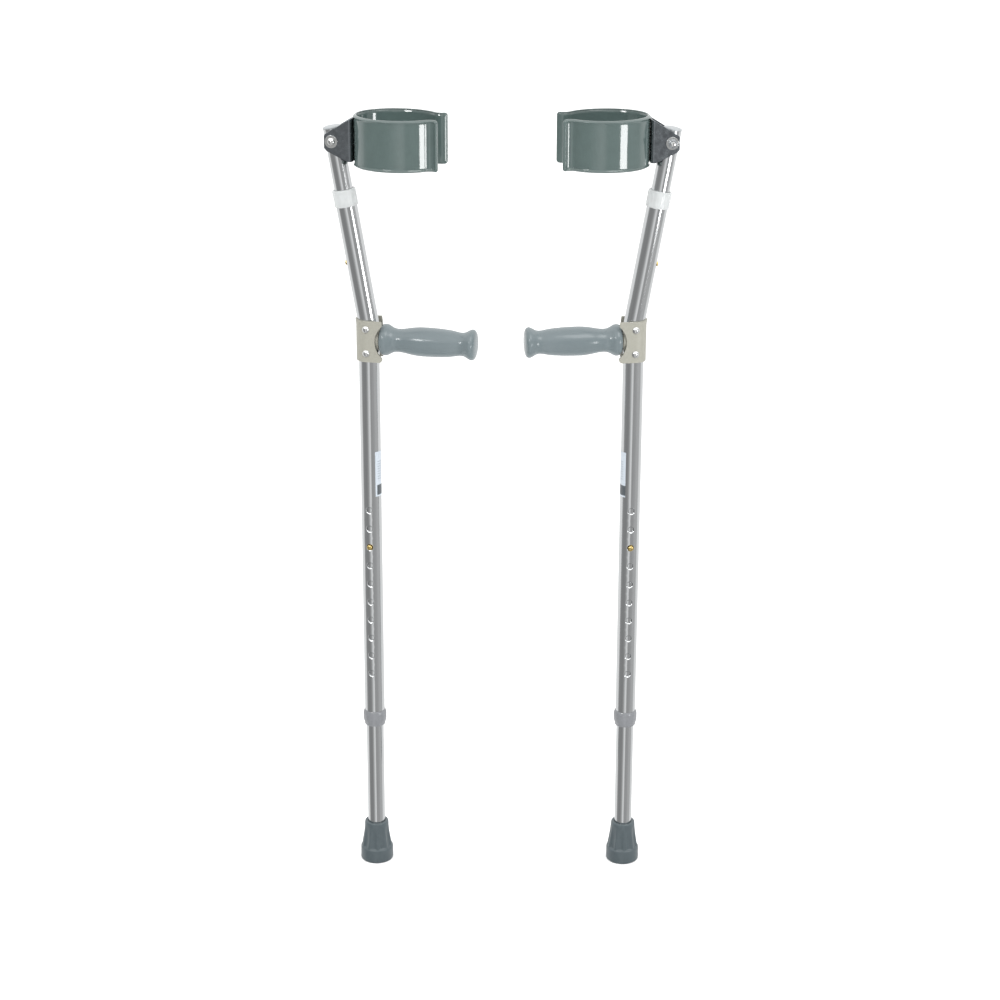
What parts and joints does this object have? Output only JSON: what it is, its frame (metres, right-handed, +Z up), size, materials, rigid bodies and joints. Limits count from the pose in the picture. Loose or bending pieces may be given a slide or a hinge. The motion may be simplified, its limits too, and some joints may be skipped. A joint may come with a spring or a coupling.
{
  "type": "pair of forearm crutches",
  "caption": "Pair of forearm crutches with open cuffs on hinges, moulded grips, snap-button height adjustment and rubber tips.",
  "frame": {"origin": "on the floor, under the middle of the pair", "axes": "+Z up along the shafts, +X from the left crutch to the right one, -Y to the front, which the handles turn towards"},
  "size_m": [0.4226, 0.091, 0.9775],
  "materials": {
    "tube": "drawn aluminium tube, satin polished",
    "saddle": "beige powder coat",
    "rivet": "bright zinc",
    "grip": "moulded soft vinyl, blue grey",
    "sticker": "pale printed film",
    "clear_nylon": "natural nylon",
    "grey_plastic": "grey moulded plastic",
    "rubber": "grey moulded rubber",
    "washer": "plain steel",
    "spring": "blued spring steel",
    "button": "polished brass",
    "zinc": "dull zinc plate",
    "core": "bare steel band",
    "cuff": "dipped vinyl, grey green"
  },
  "bodies": {
    "left_frame": {"left_main_tube": "tube", "left_handle_saddle": "saddle", "left_handle_post": "saddle", "left_handle_rivets": "rivet", "left_grip": "grip", "left_sticker": "sticker", "left_upper_collar": "clear_nylon", "left_lower_collar": "grey_plastic"},
    "left_leg": {"left_leg_tube": "tube", "left_tip": "rubber", "left_tip_washer": "washer", "left_leg_spring": "spring"},
    "left_leg_button_front": {"left_leg_button_front": "button"},
    "left_leg_button_back": {"left_leg_button_back": "button"},
    "left_forearm": {"left_forearm_tube": "tube", "left_forearm_spring": "spring", "left_tube_cap": "grey_plastic", "left_pivot_bolt": "rivet", "left_pivot_nut": "rivet", "left_pivot_washers": "rivet", "left_pivot_spacers": "clear_nylon"},
    "left_forearm_button": {"left_forearm_button": "button"},
    "left_cuff": {"left_cuff_bracket": "zinc", "left_cuff_rivets": "rivet", "left_cuff_core": "core", "left_cuff": "cuff"},
    "right_frame": {"right_main_tube": "tube", "right_handle_saddle": "saddle", "right_handle_post": "saddle", "right_handle_rivets": "rivet", "right_grip": "grip", "right_sticker": "sticker", "right_upper_collar": "clear_nylon", "right_lower_collar": "grey_plastic"},
    "right_leg": {"right_leg_tube": "tube", "right_tip": "rubber", "right_tip_washer": "washer", "right_leg_spring": "spring"},
    "right_leg_button_front": {"right_leg_button_front": "button"},
    "right_leg_button_back": {"right_leg_button_back": "button"},
    "right_forearm": {"right_forearm_tube": "tube", "right_forearm_spring": "spring", "right_tube_cap": "grey_plastic", "right_pivot_bolt": "rivet", "right_pivot_nut": "rivet", "right_pivot_washers": "rivet", "right_pivot_spacers": "clear_nylon"},
    "right_forearm_button": {"right_forearm_button": "button"},
    "right_cuff": {"right_cuff_bracket": "zinc", "right_cuff_rivets": "rivet", "right_cuff_core": "core", "right_cuff": "cuff"}
  },
  "joints": [
    {"name": "left_leg_slide", "type": "slide", "parent": "left_frame", "child": "left_leg", "axis": [0, 0, -1], "range_m": [-0.0488, 0.1708], "deforming": ["left_leg_spring", "left_leg_button_front", "left_leg_button_back"]},
    {"name": "left_leg_button_front_press", "type": "slide", "parent": "left_leg", "child": "left_leg_button_front", "axis": [0.2079, 0.9781, 0], "range_m": [0, 0.0042], "stiffness_N_per_m": 1500, "springref_m": -0.002},
    {"name": "left_leg_button_back_press", "type": "slide", "parent": "left_leg", "child": "left_leg_button_back", "axis": [-0.2079, -0.9781, 0], "range_m": [0, 0.0042], "stiffness_N_per_m": 1500, "springref_m": -0.002},
    {"name": "left_forearm_slide", "type": "slide", "parent": "left_frame", "child": "left_forearm", "axis": [-0.1665, 0.0354, 0.9854], "range_m": [-0.0244, 0.0488], "deforming": ["left_forearm_spring", "left_forearm_button"]},
    {"name": "left_forearm_button_press", "type": "slide", "parent": "left_forearm", "child": "left_forearm_button", "axis": [0.9639, -0.2049, 0.1702], "range_m": [0, 0.0042], "stiffness_N_per_m": 1500, "springref_m": -0.002},
    {"name": "left_cuff_swing", "type": "hinge", "parent": "left_forearm", "child": "left_cuff", "pos_m": [-0.19746, 0.01396, 0.94472], "axis": [-0.2079, -0.9781, 0], "range_deg": [-5, 40]},
    {"name": "right_leg_slide", "type": "slide", "parent": "right_frame", "child": "right_leg", "axis": [0, 0, -1], "range_m": [-0.0488, 0.1708], "deforming": ["right_leg_spring", "right_leg_button_front", "right_leg_button_back"]},
    {"name": "right_leg_button_front_press", "type": "slide", "parent": "right_leg", "child": "right_leg_button_front", "axis": [0.1219, -0.9925, 0], "range_m": [0, 0.0042], "stiffness_N_per_m": 1500, "springref_m": -0.002},
    {"name": "right_leg_button_back_press", "type": "slide", "parent": "right_leg", "child": "right_leg_button_back", "axis": [-0.1219, 0.9925, 0], "range_m": [0, 0.0042], "stiffness_N_per_m": 1500, "springref_m": -0.002},
    {"name": "right_forearm_slide", "type": "slide", "parent": "right_frame", "child": "right_forearm", "axis": [0.1689, 0.0207, 0.9854], "range_m": [-0.0244, 0.0488], "deforming": ["right_forearm_spring", "right_forearm_button"]},
    {"name": "right_forearm_button_press", "type": "slide", "parent": "right_forearm", "child": "right_forearm_button", "axis": [-0.9781, -0.1201, 0.1702], "range_m": [0, 0.0042], "stiffness_N_per_m": 1500, "springref_m": -0.002},
    {"name": "right_cuff_swing", "type": "hinge", "parent": "right_forearm", "child": "right_cuff", "pos_m": [0.19801, 0.01067, 0.94472], "axis": [-0.1219, 0.9925, 0], "range_deg": [-5, 40]},
    {"name": "right_crutch_lift", "type": "slide", "parent": "left_frame", "child": "right_frame", "axis": [0, 0, 1], "range_m": [0, 0.3]}
  ]
}
